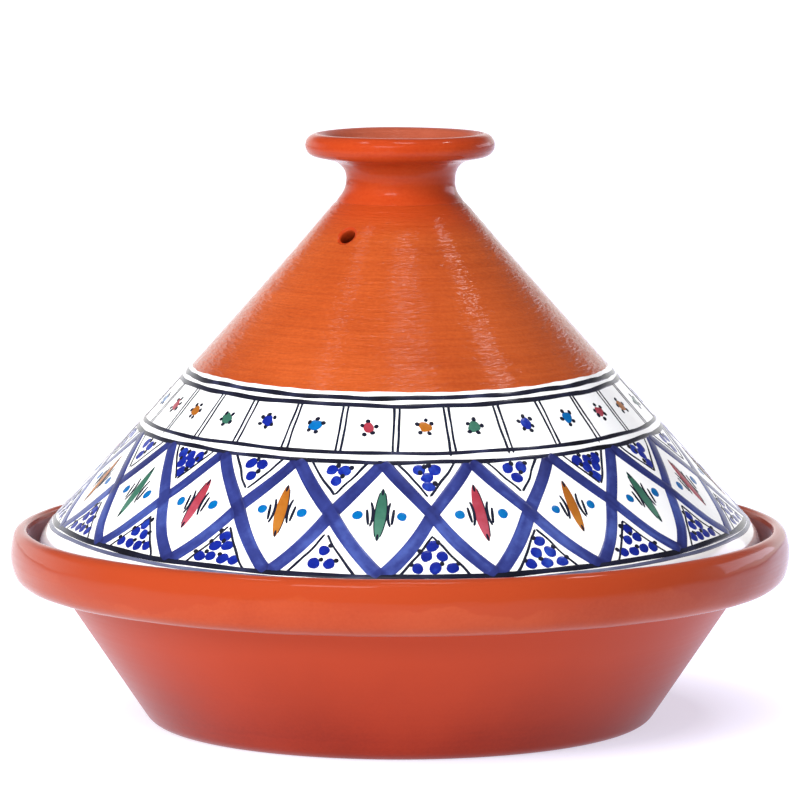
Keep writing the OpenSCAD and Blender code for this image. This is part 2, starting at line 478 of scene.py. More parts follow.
def terracotta(name, light, middle, dark, coat, coat_roughness, grooves, grain, slope=1.0,
               dashes=0.02, streaky=0.3, roughness=(0.4, 0.6), sheen=0.0, upper_zone=None):
    """Fired red clay under a clear glaze. Its colours are in sRGB.

    slope is as in turning_grain. grooves, dashes and grain are depths in mm: of the turning marks that run
    all round, of short broken ones, and of the clay's texture. streaky is how much the colour follows
    the turning marks. The last argument is (height in metres, raggedness, softness, colour) of a zone of
    another colour that starts there: on the wall it is painted light, and on the rim band painted shade."""
    material, tree, shader, where = new_material(
        name, Coat_Weight=coat, Coat_Roughness=coat_roughness, Coat_IOR=1.3, IOR=1.12,
        Sheen_Weight=sheen, Sheen_Roughness=0.35, Sheen_Tint=SHEEN_TINT)
    cloud = noise(tree, where, 16.0, 4.0)
    streak = noise(tree, turning_grain(tree, where, slope, 8.0, 560.0), 1.0, 3.0, 0.6)
    speck = noise(tree, where, 800.0, 2.0)
    tone = mixed(tree, streaky, cloud, streak)
    tone = mixed(tree, 0.2, tone, speck)
    colour = ramp(tree, tone, [(0.38, rgb(*dark)), (0.5, rgb(*middle)), (0.62, rgb(*light))])
    if upper_zone:
        height, spread, soft, other = upper_zone
        z = axis(tree, where, "Z")
        ragged = maths(tree, "MULTIPLY_ADD", noise(tree, where, 70.0, 3.0), spread / 2, z)
        ragged = maths(tree, "MULTIPLY_ADD", noise(tree, where, 14.0, 1.0), spread, ragged)
        start = height + spread * 0.75
        colour = mixed(tree, mapped(tree, ragged, start, start + soft, 0.0, 0.85), colour, rgb(*other))
    tree.links.new(colour, shader.inputs["Base Color"])
    dull = ramp(tree, streak, [(0.3, grey(roughness[0])), (0.7, grey(roughness[1]))])
    tree.links.new(dull, shader.inputs["Roughness"])
    fine = bump(tree, noise(tree, where, 520.0, 3.0), grain)
    wavy = bump(tree, noise(tree, where, 50.0, 2.0), grain * 8, fine)
    short_marks = noise(tree, turning_grain(tree, where, slope, 190.0, 600.0), 1.0, 2.0)
    use_normal(tree, shader, bump(tree, streak, grooves, bump(tree, short_marks, dashes, wavy)))
    return material


GLAZE_FOOT = (0.0775, 0.0735)  # heights in metres, over which it turns into its foot's colour


def white_glaze(name, thin, thick, foot):
    """Opaque white glaze, from its colours where it is thin and thick, and round the lid's foot."""
    material, tree, shader, where = new_material(
        name, Coat_Weight=0.6, Coat_Roughness=0.06, Coat_IOR=1.45, IOR=1.45)
    cloud = noise(tree, where, 24.0, 4.0)
    body = ramp(tree, cloud, [(0.3, rgb(*thin)), (0.55, rgb(*thick))])
    share = mapped(tree, axis(tree, where, "Z"), *GLAZE_FOOT)
    tree.links.new(mixed(tree, share, body, rgb(*foot)), shader.inputs["Base Color"])
    dull = ramp(tree, noise(tree, where, 90.0), [(0.3, grey(0.1)), (0.7, grey(0.2))])
    tree.links.new(dull, shader.inputs["Roughness"])
    fine = bump(tree, noise(tree, where, 420.0, 2.0), 0.01)
    use_normal(tree, shader, bump(tree, noise(tree, where, 60.0, 2.0), 0.08, fine))
    return material


def paint(name, dark, middle, light, mottle=0.4):
    """Brushed colour under the glaze. The mesh's tone is how much pigment the brush left, from 0 to 1,
    and mottle is how much blotches of the glaze show in it."""
    material, tree, shader, where = new_material(
        name, Coat_Weight=0.5, Coat_Roughness=0.06, Coat_IOR=1.35, IOR=1.15, Roughness=0.25)
    tone = add_node(tree, "ShaderNodeAttribute", attribute_name="tone").outputs["Fac"]
    blotch = mixed(tree, 0.5, noise(tree, where, 260.0, 4.0, 0.6), noise(tree, where, 70.0, 3.0))
    value = mixed(tree, mottle, tone, blotch)
    colour = ramp(tree, value, [(0.22, rgb(*light)), (0.5, rgb(*middle)), (0.8, rgb(*dark))])
    tree.links.new(colour, shader.inputs["Base Color"])
    use_normal(tree, shader, bump(tree, noise(tree, where, 60.0, 2.0), 0.08))
    return material


CLAY_CONE = terracotta(
    "clay_cone", (180, 82, 36), (167, 72, 29), (153, 61, 23), slope=-1.0, coat=0.85,
    coat_roughness=0.08, grooves=0.1, dashes=0.4, grain=0.02,
    upper_zone=(0.194, 0.008, 0.010, (165, 58, 22)))
CLAY_KNOB = terracotta(
    "clay_knob", (172, 62, 25), (165, 55, 20), (155, 47, 16), coat=0.7,
    coat_roughness=0.1, grooves=0.02, dashes=0.06, grain=0.006, streaky=0.15)
# The hollow's glaze is duller, which is its own finish, and its colour is painted lighter and greyer than
# the knob's: a painted haze of light on the hollow and the top of its lip.
CLAY_CUP_PAINTED_HAZE = terracotta(
    "clay_cup_painted_haze", (169, 85, 61), (161, 78, 55), (151, 69, 47), coat=0.35,
    coat_roughness=0.3, grooves=0.02, grain=0.01, streaky=0.2, sheen=0.25)
# The band turns a little deeper above a ragged line below its crest: painted shade for the darker room that
# the upper glaze mirrors.
CLAY_BAND = terracotta(
    "clay_band", (165, 66, 33), (160, 61, 29), (153, 55, 25), coat=0.8,
    coat_roughness=0.06, grooves=0.01, dashes=0.03, grain=0.005, streaky=0.1, sheen=0.07,
    upper_zone=(0.0675, 0.026, 0.0012, (158, 58, 27)))
# The wall is painted lighter upwards from about 1 cm above the table, fully so by about 4 cm, and stays
# darker at its foot: painted light on the upper wall, painted shade at the foot.
CLAY_WALL = terracotta(
    "clay_wall", (143, 40, 14), (136, 36, 12), (127, 32, 9), coat=0.5,
    coat_roughness=0.25, grooves=0.004, dashes=0.004, grain=0.01, streaky=0.2,
    roughness=(0.47, 0.53), sheen=0.11, upper_zone=(0.008, 0.01, 0.035, (172, 59, 26)))
CLAY_INSIDE = terracotta(
    "clay_inside", (147, 58, 35), (127, 45, 27), (104, 33, 20), coat=1.0,
    coat_roughness=0.08, grooves=0.04, grain=0.01, sheen=0.25)
CLAY_BARE = terracotta(
    "clay_bare", (174, 102, 72), (160, 87, 58), (144, 73, 48), coat=0.0,
    coat_roughness=0.5, grooves=0.06, grain=0.03, roughness=(0.75, 0.9))
WHITE = white_glaze("white_glaze", (247, 245, 243), (252, 252, 252), (214, 210, 232))
COBALT = paint("cobalt", (24, 26, 74), (45, 54, 117), (76, 95, 166), 0.5)
COBALT_DOT = paint("cobalt_dot", (8, 12, 78), (18, 34, 132), (50, 88, 184), 0.7)
LINE = paint("line", (17, 17, 25), (28, 30, 48), (63, 67, 100), 0.35)
PALE_LINE = paint("pale_line", (67, 70, 97), (100, 104, 130), (147, 149, 170))
TURQUOISE = paint("turquoise", (0, 62, 130), (2, 93, 155), (34, 124, 180), 0.6)
GREEN = paint("green", (30, 70, 58), (52, 99, 82), (87, 130, 112))
RED = paint("red", (124, 26, 40), (150, 52, 66), (172, 88, 104), 0.6)
ORANGE = paint("orange", (124, 62, 17), (156, 91, 27), (178, 120, 50), 0.55)


# ---------------------------------------- dish

def section_materials(names, face_rows, indices):
    """A material index for each face, from the section of the outline that it lies on."""
    return [indices[names[row]] for row in face_rows]


def make_dish():
    outline, names = dish_outline()
    body_names = names[1:-1][:, None]

    def relief(turn, r, z):
        rings = 0.03 * np.sin(z * 2.0 + turn) + 0.02 * np.sin(z * 3.1 - turn + 1)
        floor_rings = 0.08 * np.sin(r * 0.8 + 0.5 * z + turn)
        uneven = waves(turn, [(2, 0.09, 0.4), (3, 0.05, 1.9), (5, 0.03, 0.8)]) - 0.17
        slow = np.clip((z - 10) / 50, 0, 1)
        ripple = (0.05 * np.sin(17 * turn + 0.25 * z) * np.sin(0.35 * z - 5 * turn)
                  + 0.03 * np.sin(29 * turn - 0.4 * z + 2) - 0.08)
        out = uneven * slow + np.where(body_names == "band", ripple, 0.1 * rings) * slow
        return np.where(body_names == "pan", floor_rings, np.where(body_names == "underside", 0.0, out))

    points, faces, face_rows = lathe(outline, 400, relief)
    indices = {"band": 0, "wall": 1, "gallery": 2, "pan": 2, "underside": 3}
    clays = [CLAY_BAND, CLAY_WALL, CLAY_INSIDE, CLAY_BARE]
    dish = make_object(
        "dish_body", points, faces, clays, "dish", "dish_terracotta",
        section_materials(names, face_rows, indices))
    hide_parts("dish")


make_dish()


# ---------------------------------------- lid

LID_CLAYS = [CLAY_CONE, CLAY_INSIDE, CLAY_BARE, CLAY_KNOB]
VENT_CLAY = 3  # the one of LID_CLAYS that lines the vent
WHITE_TOP = 141.2  # upper edge of the white glaze, at the front
GLAZE_T = 0.25  # thickness of the white glaze


def lid_relief(turn, z):
    """How far the lid stands off its plain outline: slow unevenness, and throwing rings on the cone
    above the white glaze."""
    uneven = (waves(turn, [(2, 0.12, 1.1), (3, 0.05, 2.4)]) - 0.26) * np.clip((JOINT_Z - z) / 20, 0, 1)
    bare = np.clip((z - WHITE_TOP + 3) / 6, 0, 1) * np.clip((JOINT_Z - z) / 4, 0, 1)
    patch = 0.6 + 0.4 * np.sin(3 * turn + z * 0.11) * np.sin(2 * turn - z * 0.05 + 1)
    rings = (0.045 * np.sin(z * 2 * math.pi / 3.1 + turn + 0.8 * np.sin(z * 0.21))
             + 0.018 * np.sin(z * 2 * math.pi / 1.9 + turn)
             + 0.020 * np.sin(z * 2 * math.pi / 7.3 - turn + 2.0 * np.sin(z * 0.13)))
    return uneven + rings * patch * bare


def vent_cutter():
    """A round bar, flared at both ends, that bores the steam vent square to the cone's side and leaves
    its edges soft."""
    flare, over, start, count = 0.8, 3.0, 0.35, 48
    profile = [(VENT_R + flare + 0.4, -over), (VENT_R + flare + 0.4, start - 0.15)]
    profile += [(VENT_R + flare * (1 - cosd(a)), start + flare * (1 - sind(a))) for a in range(90, -1, -15)]
    profile += [(VENT_R, LID_T - 0.4), (VENT_R + 0.4, LID_T), (VENT_R + 0.5, LID_T + over)]
    z, turn, facing = JOINT_Z - VENT_DROP, math.radians(VENT_TURN), math.radians(CONE_LEAN)
    middle = turned(turn, float(lid_radius(z)), z)
    level = math.cos(facing)
    outward = np.array([level * math.sin(turn), -level * math.cos(turn), math.sin(facing)])
    across = np.array([math.cos(turn), math.sin(turn), 0.0])
    up = np.cross(across, outward)
    angles = [2 * math.pi * i / count for i in range(count)]
    points = [middle - outward * deep + radius * (math.cos(a) * across + math.sin(a) * up)
              for radius, deep in profile for a in angles]
    faces = []
    for i in range(len(profile) - 1):
        faces += quads(i * count, (i + 1) * count, count)
    faces += [tuple(range(count))[::-1], tuple((len(profile) - 1) * count + j for j in range(count))]
    mesh = bpy.data.meshes.new("vent_cutter")
    mesh.from_pydata((np.array(points) * MM).tolist(), [], faces)
    cutter = bpy.data.objects.new("vent_cutter", mesh)
    bpy.context.scene.collection.objects.link(cutter)
    return cutter


def cut_vent(lid):
    cutter = vent_cutter()
    for material in lid.data.materials:
        cutter.data.materials.append(material)
    cutter.data.polygons.foreach_set("material_index", [VENT_CLAY] * len(cutter.data.polygons))
    cut = lid.modifiers.new("vent", "BOOLEAN")
    cut.operation = "DIFFERENCE"
    cut.solver = "EXACT"
    cut.object = cutter
    graph = bpy.context.evaluated_depsgraph_get()
    result = bpy.data.meshes.new_from_object(lid.evaluated_get(graph))
    lid.modifiers.clear()
    lid.data = result
    result.polygons.foreach_set("use_smooth", [True] * len(result.polygons))
    bpy.data.objects.remove(cutter)


def make_lid():
    outline, names = lid_outline()
    body_names = names[1:-1][:, None]
    on_top = outline[1:-1][:, 1][:, None] > JOINT_Z - 0.3

    def relief(turn, r, z):
        inside_rings = 0.12 * np.sin(z * 0.8 + turn) * np.clip((JOINT_Z - LID_T - z) / 10, 0, 1)
        out = np.where(on_top, 0.0, lid_relief(turn, z))
        return np.where(body_names == "outside", out, np.where(body_names == "inside", inside_rings, 0.0))

    points, faces, face_rows = lathe(outline, 360, relief)
    lid = make_object(
        "lid_shell", points, faces, LID_CLAYS, "lid", "lid_terracotta",
        section_materials(names, face_rows, {"outside": 0, "inside": 1, "foot": 2}))
    cut_vent(lid)
    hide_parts("lid_cone")


def make_knob():
    outline, names = knob_outline()
    body_names = names[1:-1][:, None]

    def relief(turn, r, z):
        high = np.clip((z - JOINT_Z - 3) / 10, 0, 1)
        off_centre = 0.5 * np.sin(turn) * np.clip((KNOB_TOP - 12 - z) / 6, 0, 1)
        uneven = waves(turn, [(2, 0.10, 0.3), (3, 0.06, 2.0), (5, 0.03, 1.0)]) - 0.19 + off_centre
        finger_rings = 0.03 * np.sin(z * 2.2 + turn) + 0.02 * np.sin(z * 3.7 - 2 * turn) - 0.05
        cup_rings = 0.10 * np.sin(r * 1.1 + turn) + 0.06 * np.sin(r * 2.3 - turn)
        out = (uneven + np.where(body_names == "cup", cup_rings, finger_rings)) * high
        return np.where(body_names == "stuck", 0.0, out)

    points, faces, face_rows = lathe(outline, 300, relief)
    knob = make_object(
        "knob", points, faces, [CLAY_KNOB, CLAY_CUP_PAINTED_HAZE], "lid", "knob_terracotta",
        section_materials(names, face_rows, {"stuck": 0, "outside": 0, "lip": 1, "cup": 1}))
    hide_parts("lid_knob")


make_lid()
make_knob()


# ---------------------------------------- painted decoration of the lid

BAND_RISE = 0.022  # the painted bands aren't quite level: they rise towards both sides
PALE_RING, LOWER_RING = 75.9, 77.7
FOURTH_RING, THIRD_RING, SECOND_RING, TOP_RING = 116.7, 119.8, 136.3, 139.0
PAINT_TOP, PAINT_SINK = 0.09, 0.06  # how far paint stands above the glaze, and how far its edge dips


def band_height(turn, level):
    """Actual height of a painted level, which is given as its height at the front."""
    share = np.clip((np.asarray(level) - FOOT_Z - 4) / 6, 0, 1)
    rise = BAND_RISE * (1 + 0.5 * np.clip((86 - np.asarray(level)) / 8, 0, 1))
    return level + share * lid_radius(level) * rise * np.sin(turn) ** 2


def on_lid(turn, level, lift):
    """Points in space at a turn in radians and a painted level, lift mm above the lid's clay."""
    z = band_height(turn, level)
    facing = lid_facing(z)
    out = lid_relief(turn, z) + lift
    return turned(turn, lid_radius(z) + out * np.cos(facing), z + out * np.sin(facing))


def make_glaze():
    """A skin of white glaze, from the lid's foot up to the bare cone."""
    edge, bottom, sunk = 1.2, FOOT_Z + 2.6, -0.15
    levels = np.concatenate([np.arange(bottom + edge, WHITE_TOP - edge, 1.3), [WHITE_TOP - edge]])
    outer = [(z, GLAZE_T) for z in levels]
    top = [(WHITE_TOP - 0.5, GLAZE_T * 0.9), (WHITE_TOP - 0.1, GLAZE_T * 0.6), (WHITE_TOP, 0.0),
           (WHITE_TOP - 0.3, sunk)]
    inner = [(z, sunk) for z in levels[::-2]]
    foot = [(bottom + 0.2, -0.1), (bottom, 0.0), (bottom + 0.1, GLAZE_T * 0.6),
            (bottom + 0.5, GLAZE_T * 0.9)]
    ragged_terms = [(7, 0.10, 0.2), (13, 0.09, 1.0), (29, 0.07, 2.0), (61, 0.05, 0.7)]

    def place(turn, loop):
        near_edge = np.clip((loop[:, 0] - WHITE_TOP + 3) / 3, 0, 1)
        return on_lid(turn, loop[:, 0] + waves(turn, ragged_terms) * near_edge, loop[:, 1])

    points, faces = hoop(np.array(outer + top + inner + foot), 720, place)
    make_object("glaze_band", points, faces, [WHITE], "lid", "white_glaze")


ACROSS = np.array([-1, -0.92, -0.66, -0.25, 0.25, 0.66, 0.92, 1])  # points across a stroke


def moved(turn, level, along, up):
    """The place that lies along mm to the right and up mm up the lid's surface."""
    return turn + along / lid_radius(level), level + up * np.cos(lid_facing(level))


class Marks:
    """Brush marks of one colour, gathered into one mesh with a tone at each vertex."""

    def __init__(self):
        self.points, self.faces, self.tones, self.count = [], [], [], 0

    def add(self, points, faces, tones):
        self.points.append(points)
        self.tones.append(np.clip(tones, 0, 1))
        self.faces += [tuple(v + self.count for v in face) for face in faces]
        self.count += len(points)

    def stroke(self, turn, level, width, tone=0.5, lift=0.0, closed=False, shade=None, bristles=0.0):
        """A brush stroke along a path, in radians and levels. width and tone may vary along it,
        shade(turn, level) adds to its tone, and bristles is how much the brush's hairs streak it."""
        turn, level = np.broadcast_arrays(np.asarray(turn, float), np.asarray(level, float))
        n, m = len(turn), len(ACROSS)
        r, cos_face = lid_radius(level), np.cos(lid_facing(level))
        rise = (np.roll(level, -1) - np.roll(level, 1)) / 2 if closed else np.gradient(level)
        step_u, step_v = r * np.gradient(turn), rise / cos_face
        length = np.hypot(step_u, step_v)
        half = np.broadcast_to(np.asarray(width, float) / 2, (n,))
        rounding = np.ones(n)
        if not closed:
            walked = np.concatenate([[0], np.cumsum((length[1:] + length[:-1]) / 2)])
            from_end = np.minimum(walked, walked[-1] - walked)
            rounding = np.sqrt(1 - (1 - np.clip(from_end / np.maximum(half, 0.05), 0, 1)) ** 2)
        offset = (half * rounding)[:, None] * ACROSS
        t = turn[:, None] - offset * (step_v / length / r)[:, None]
        z = level[:, None] + offset * (step_u / length * cos_face)[:, None]
        height = (PAINT_TOP + lift + PAINT_SINK) * (1 - ACROSS ** 8) * (0.4 + 0.6 * rounding[:, None])
        points = on_lid(t, z, GLAZE_T - PAINT_SINK + height)
        tones = np.broadcast_to(np.asarray(tone, float), (n,))[:, None] + 0.12 * np.abs(ACROSS) ** 6
        if shade is not None:
            tones = tones + shade(t, z)
        if bristles:
            hairs = np.array([(rng.uniform(0, 6.3), rng.uniform(0.08, 0.2)) for _ in ACROSS])
            tones = tones + bristles * np.sin(hairs[:, 0] + np.cumsum(length)[:, None] * hairs[:, 1])
        rows = range(n) if closed else range(n - 1)
        faces = [(i * m + j, (i + 1) % n * m + j, (i + 1) % n * m + j + 1, i * m + j + 1)
                 for i in rows for j in range(m - 1)]
        self.add(points.reshape(-1, 3), faces, tones.reshape(-1))

    def dab(self, turn, level, long, wide, lean=0.0, tone=0.5, ragged=0.08, lift=0.0):
        """A touch of the brush, long by wide mm, its long way leaning lean degrees from upright."""
        corners = 22
        a = np.linspace(0, 2 * math.pi, corners, endpoint=False)
        edge = np.ones(corners)
        for k in (2, 3, 4, 5):
            edge += rng.uniform(-ragged, ragged) / k * np.cos(k * a + rng.uniform(0, 6.3))
        along, up = edge * np.sin(a) * wide / 2, edge * np.cos(a) * long / 2
        along, up = along * cosd(lean) + up * sind(lean), up * cosd(lean) - along * sind(lean)
        shares = np.array([0.5, 0.82, 0.95, 1.0])
        heights = np.array([1.0, 0.92, 0.6, 0.0])
        t, z = moved(turn, level, shares[:, None] * along, shares[:, None] * up)
        top = PAINT_TOP + lift + PAINT_SINK
        rings = on_lid(t, z, GLAZE_T - PAINT_SINK + top * heights[:, None])
        centre = on_lid(np.array([turn]), np.array([level]), GLAZE_T - PAINT_SINK + top)
        faces = [(0, 1 + (j + 1) % corners, 1 + j) for j in range(corners)]
        for i in range(len(shares) - 1):
            faces += quads(1 + i * corners, 1 + (i + 1) * corners, corners)
        tones = np.concatenate([[tone], np.repeat(tone + 0.12 * shares ** 4, corners)])
        self.add(np.concatenate([centre, rings.reshape(-1, 3)]), faces, tones)

    def build(self, name, material, slot):
        obj = make_object(name, np.concatenate(self.points), self.faces, [material], "lid", slot)
        attribute = obj.data.attributes.new("tone", "FLOAT", "POINT")
        attribute.data.foreach_set("value", np.concatenate(self.tones).astype(np.float32))


def jitter(size):
    return rng.uniform(-size, size)


def wander(s, size):
    """A hand's slow wander along a stroke, s from 0 to 1."""
    return sum(size / k * np.sin(2 * math.pi * k * 0.7 * s + rng.uniform(0, 6.3)) for k in (1, 2, 3))


cobalt, cobalt_dots, lines, pale_lines = Marks(), Marks(), Marks(), Marks()
turquoise, green, red, orange = Marks(), Marks(), Marks(), Marks()


def paint_rings():
    turn = np.linspace(-math.pi, math.pi, 720, endpoint=False)
    for level, width, marks in (
        (TOP_RING, 2.3, lines), (SECOND_RING, 2.3, lines), (THIRD_RING, 1.9, lines),
        (FOURTH_RING, 2.1, lines), (LOWER_RING, 2.3, lines), (PALE_RING, 1.5, pale_lines),
    ):
        drift = [(k, rng.uniform(0.05, 0.12), rng.uniform(0, 6.3)) for k in (3, 7, 12, 19)]
        swell = [(k, rng.uniform(0.03, 0.07), rng.uniform(0, 6.3)) for k in (5, 11, 23, 37)]
        marks.stroke(turn, level + waves(turn, drift), width * (1 + waves(turn, swell)), closed=True,
                     tone=0.62 + 2 * waves(turn, swell))


# Diamond lattice
DIAMONDS = 20
PITCH = 360 / DIAMONDS
FIRST_TOP = -3.4  # turn of one diamond's top corner, in degrees
LATTICE_TOP, LATTICE_FOOT, LATTICE_SKEW = 117.0, 77.6, 0.4
LATTICE_LIFT, LATTICE_SAG = 1.4, 1.1  # the crossings sit high, and the strokes below them sag
STROKE_W = 6.1
STROKE_SLANT = 0.78  # a stroke's width, as a share of its width along the level


def lattice_turn(s, side):
    """Turn of a lattice stroke from its top corner, in degrees, at the share s of its way down."""
    return side * PITCH * s + LATTICE_SKEW * s


def lattice_level(s):
    """Painted level of a lattice stroke at the share s of its way down."""
    straight = LATTICE_TOP + (LATTICE_FOOT - LATTICE_TOP) * s
    sag = LATTICE_SAG * np.sin(2 * math.pi * np.clip(s - 0.5, 0, 0.5))
    return straight + LATTICE_LIFT * (1 - np.abs(2 * s - 1)) - sag


def lattice_cover(side):
    """Adds pigment where a stroke lies over strokes of the other direction."""
    shares = np.linspace(1, 0, 80)
    levels = lattice_level(shares)

    def shade(turn, level):
        s = np.interp(level, levels, shares)
        off = (np.degrees(turn) - FIRST_TOP - lattice_turn(s, -side) + PITCH / 2) % PITCH - PITCH / 2
        apart = np.abs(np.radians(off)) * lid_radius(level) * STROKE_SLANT
        return 0.24 * np.clip((STROKE_W / 2 + 0.5 - apart) / 0.7, 0, 1)
    return shade


def paint_lattice():
    s = np.linspace(0, 1, 88)
    for side in (-1, 1):
        for k in range(DIAMONDS):
            turn = FIRST_TOP + PITCH * k + lattice_turn(s, side) + wander(s, 0.12)
            level = lattice_level(s) + wander(s, 0.12)
            width = STROKE_W * (1 + wander(s, 0.05)) * (1 - 0.12 * (1 - s))
            tone = 0.62 - 0.3 * np.exp(-((s - 0.68) / 0.2) ** 2) + wander(s, 0.07)
            cobalt.stroke(np.radians(turn), level, width, tone, lift=0.02 * (side + 1),
                          shade=lattice_cover(side), bristles=0.11)


SPINDLE_Z = 98.5
SPINDLE_HALF_LONG, SPINDLE_WIDE = 12.7, 4.8
SPINDLE_COLOURS = (green, red, orange)  # in turn round the lid
SPINDLE_EDGES = ((-1, 1), (1,), (), (-1,), (1,))  # the sides that have a thin outline, in turn


def paint_spindle(turn, colour, outlined):
    """One coloured spindle with its dark tips, side strokes and turquoise dots."""
    s = np.linspace(0, 1, 40)
    half_long = SPINDLE_HALF_LONG + jitter(0.7)
    wide = SPINDLE_WIDE + jitter(0.35)
    lean, bow = jitter(1.0), jitter(0.5)
    along = lean * (2 * s - 1) + bow * np.sin(math.pi * s)
    up = half_long * (1 - 2 * s)
    t, z = moved(turn, SPINDLE_Z + jitter(0.5), along, up)
    swell = np.sin(math.pi * np.clip(s, 0.02, 0.98)) ** 0.6
    colour.stroke(t, z, wide * swell, 0.45 + 0.2 * np.cos(3 * s))
    tip = s < 0.17
    for end in (tip, tip[::-1]):
        part = np.linspace(0, 1, int(end.sum()))
        lines.stroke(t[end], z[end], 0.5 + 0.9 * np.sin(math.pi * part), 0.7, 0.03)
    for side in outlined:
        a, b = moved(t, z, side * wide / 2 * swell, 0)
        lines.stroke(a[3:-3], b[3:-3], 0.5, 0.6, 0.03)
    q = np.linspace(0, 1, 16)
    for side in (-1, 1):
        near = 2.7 + jitter(0.25)
        a, b = moved(turn, SPINDLE_Z, side * (near + 1.1 * (2 * q - 1) ** 2), 6.0 - 11.6 * q + jitter(0.4))
        lines.stroke(a, b, 0.9 + 0.5 * np.sin(math.pi * q), 0.65)
        far = 5.1 + jitter(0.3)
        a, b = moved(turn, SPINDLE_Z, side * (far - 0.9 * q), 3.2 - 7.4 * q + jitter(0.4))
        lines.stroke(a, b, 0.9 + 0.45 * np.sin(math.pi * q), 0.65)
        a, b = moved(turn, SPINDLE_Z, side * (8.4 + jitter(0.3)), jitter(0.6))
        turquoise.dab(a, b, 4.3 + jitter(0.4), 4.0 + jitter(0.3), jitter(40), 0.5)


def triangle_dots(turn, rows):
    """Cobalt dots in rows, each (level, count, spacing), with a small black dot on most of them."""
    for level, count, spacing in rows:
        for i in range(count):
            along = (i - (count - 1) / 2) * spacing + jitter(0.35)
            a, b = moved(turn, level, along, jitter(0.4))
            cobalt_dots.dab(a, b, 5.3 + jitter(0.5), 4.8 + jitter(0.4), jitter(60), 0.5, 0.14)
            if rng.random() < 0.9:
                a, b = moved(a, b, 2.3 * rng.choice((-1, 1)) + jitter(0.4), 1.9 + jitter(0.5))
                lines.dab(a, b, 2.3 + jitter(0.3), 2.1 + jitter(0.3), 0, 0.7, 0.05, 0.04)


def paint_chevron(turn, half, base, apex):
    """A thin V or its reverse, from base level half degrees to both sides of turn, to its apex."""
    s = np.linspace(0, 1, 26)
    for side in (-1, 1):
        a = turn + np.radians(side * half) * (1 - s) + np.radians(wander(s, 0.12))
        lines.stroke(a, base + (apex - base) * s + wander(s, 0.1), 1.15 + wander(s, 0.12), 0.6)


# Rows of dots in the triangles at the lattice's top and foot, by their number of dots, and each row as
# (level, count, spacing)
TOP_ROWS = {
    3: ((113.7, 2, 5.4), (110.0, 1, 0)),
    4: ((113.9, 2, 6.2), (111.6, 1, 0), (108.2, 1, 0)),
    6: ((113.9, 3, 4.9), (110.9, 2, 4.8), (107.9, 1, 0)),
}
FOOT_ROWS = {
    3: ((86.4, 1, 0), (82.0, 2, 6.6)),
    6: ((88.0, 1, 0), (84.6, 2, 6.2), (80.9, 3, 6.7)),
    7: ((88.6, 1, 0), (85.2, 2, 5.4), (81.0, 4, 5.2)),
}
TOP_DOTS = (3, 6, 3, 3, 4, 3, 6, 4, 3)  # in turn round the lid
FOOT_DOTS = (7, 7, 7, 3, 6, 6, 7, 7, 6)
CHEVRON_APEXES = (105.0, 92.2)  # levels


def paint_diamonds():
    crossing = FIRST_TOP + PITCH / 2
    for k in range(-DIAMONDS // 2, DIAMONDS // 2):
        top_turn = math.radians(FIRST_TOP + PITCH * k + jitter(0.3))
        paint_spindle(top_turn, SPINDLE_COLOURS[k % 3], SPINDLE_EDGES[k % 5])
        turn = math.radians(crossing + PITCH * k + jitter(0.2))
        paint_chevron(turn, 6.0, FOURTH_RING, CHEVRON_APEXES[0] + jitter(0.5))
        paint_chevron(turn, 5.5, LOWER_RING, CHEVRON_APEXES[1] + jitter(0.5))
        number = (k + 4) % 9
        triangle_dots(turn, TOP_ROWS[TOP_DOTS[number]])
        triangle_dots(turn, FOOT_ROWS[FOOT_DOTS[number]])


# Panel band
PANELS = 29
PANEL_PITCH = 360 / PANELS
FIRST_LINE = -0.9  # turn of one pair of panel lines, in degrees
FLOWER_Z = 128.4
FLOWER_COLOURS = (red, orange, green, cobalt_dots, turquoise)  # in turn


def paint_flower(turn, colour):
    """A ragged dot of colour in a ring of small black dots."""
    a, b = moved(turn, FLOWER_Z + jitter(0.6), jitter(0.3), 0)
    colour.dab(a, b, 5.4 + jitter(0.5), 4.8 + jitter(0.5), jitter(60), 0.5, 0.3)
    petals = rng.choice((5, 5, 6))
    begin = rng.uniform(0, 6.3)
    for p in range(petals):
        angle = begin + 2 * math.pi * p / petals + jitter(0.2)
        reach = 3.0 + jitter(0.35)
        c, d = moved(a, b, reach * math.cos(angle), reach * 1.1 * math.sin(angle))
        lines.dab(c, d, 2.1 + jitter(0.3), 1.8 + jitter(0.2), jitter(90), 0.7, 0.08, 0.03)


def paint_panels():
    """Pairs of upright lines round the lid, with a flower between each pair and the next."""
    s = np.linspace(0, 1, 26)
    for k in range(-(PANELS // 2), PANELS // 2 + 1):
        middle = FIRST_LINE + PANEL_PITCH * k + jitter(0.5)
        for side in (-1, 1):
            turn = middle + side * 0.6 + jitter(0.25) * (s - 0.5) + wander(s, 0.06)
            foot = THIRD_RING - (rng.random() < 0.25) * 1.4
            level = SECOND_RING + (foot - SECOND_RING) * s
            lines.stroke(np.radians(turn), level, 1.1 + wander(s, 0.12), 0.62)
        paint_flower(math.radians(middle + PANEL_PITCH / 2 + jitter(0.5)), FLOWER_COLOURS[(k + 1) % 5])


make_glaze()
paint_rings()
paint_lattice()
paint_diamonds()
paint_panels()
for marks, name, material, slot in (
    (cobalt, "paint_cobalt", COBALT, "cobalt_paint"),
    (cobalt_dots, "paint_cobalt_dots", COBALT_DOT, "cobalt_paint"),
    (lines, "paint_lines", LINE, "line_paint"),
    (pale_lines, "paint_pale_line", PALE_LINE, "line_paint"),
    (turquoise, "paint_turquoise", TURQUOISE, "turquoise_paint"),
    (green, "paint_green", GREEN, "green_paint"),
    (red, "paint_red", RED, "red_paint"),
    (orange, "paint_orange", ORANGE, "orange_paint"),
):
    marks.build(name, material, slot)


# ---------------------------------------- floor and light

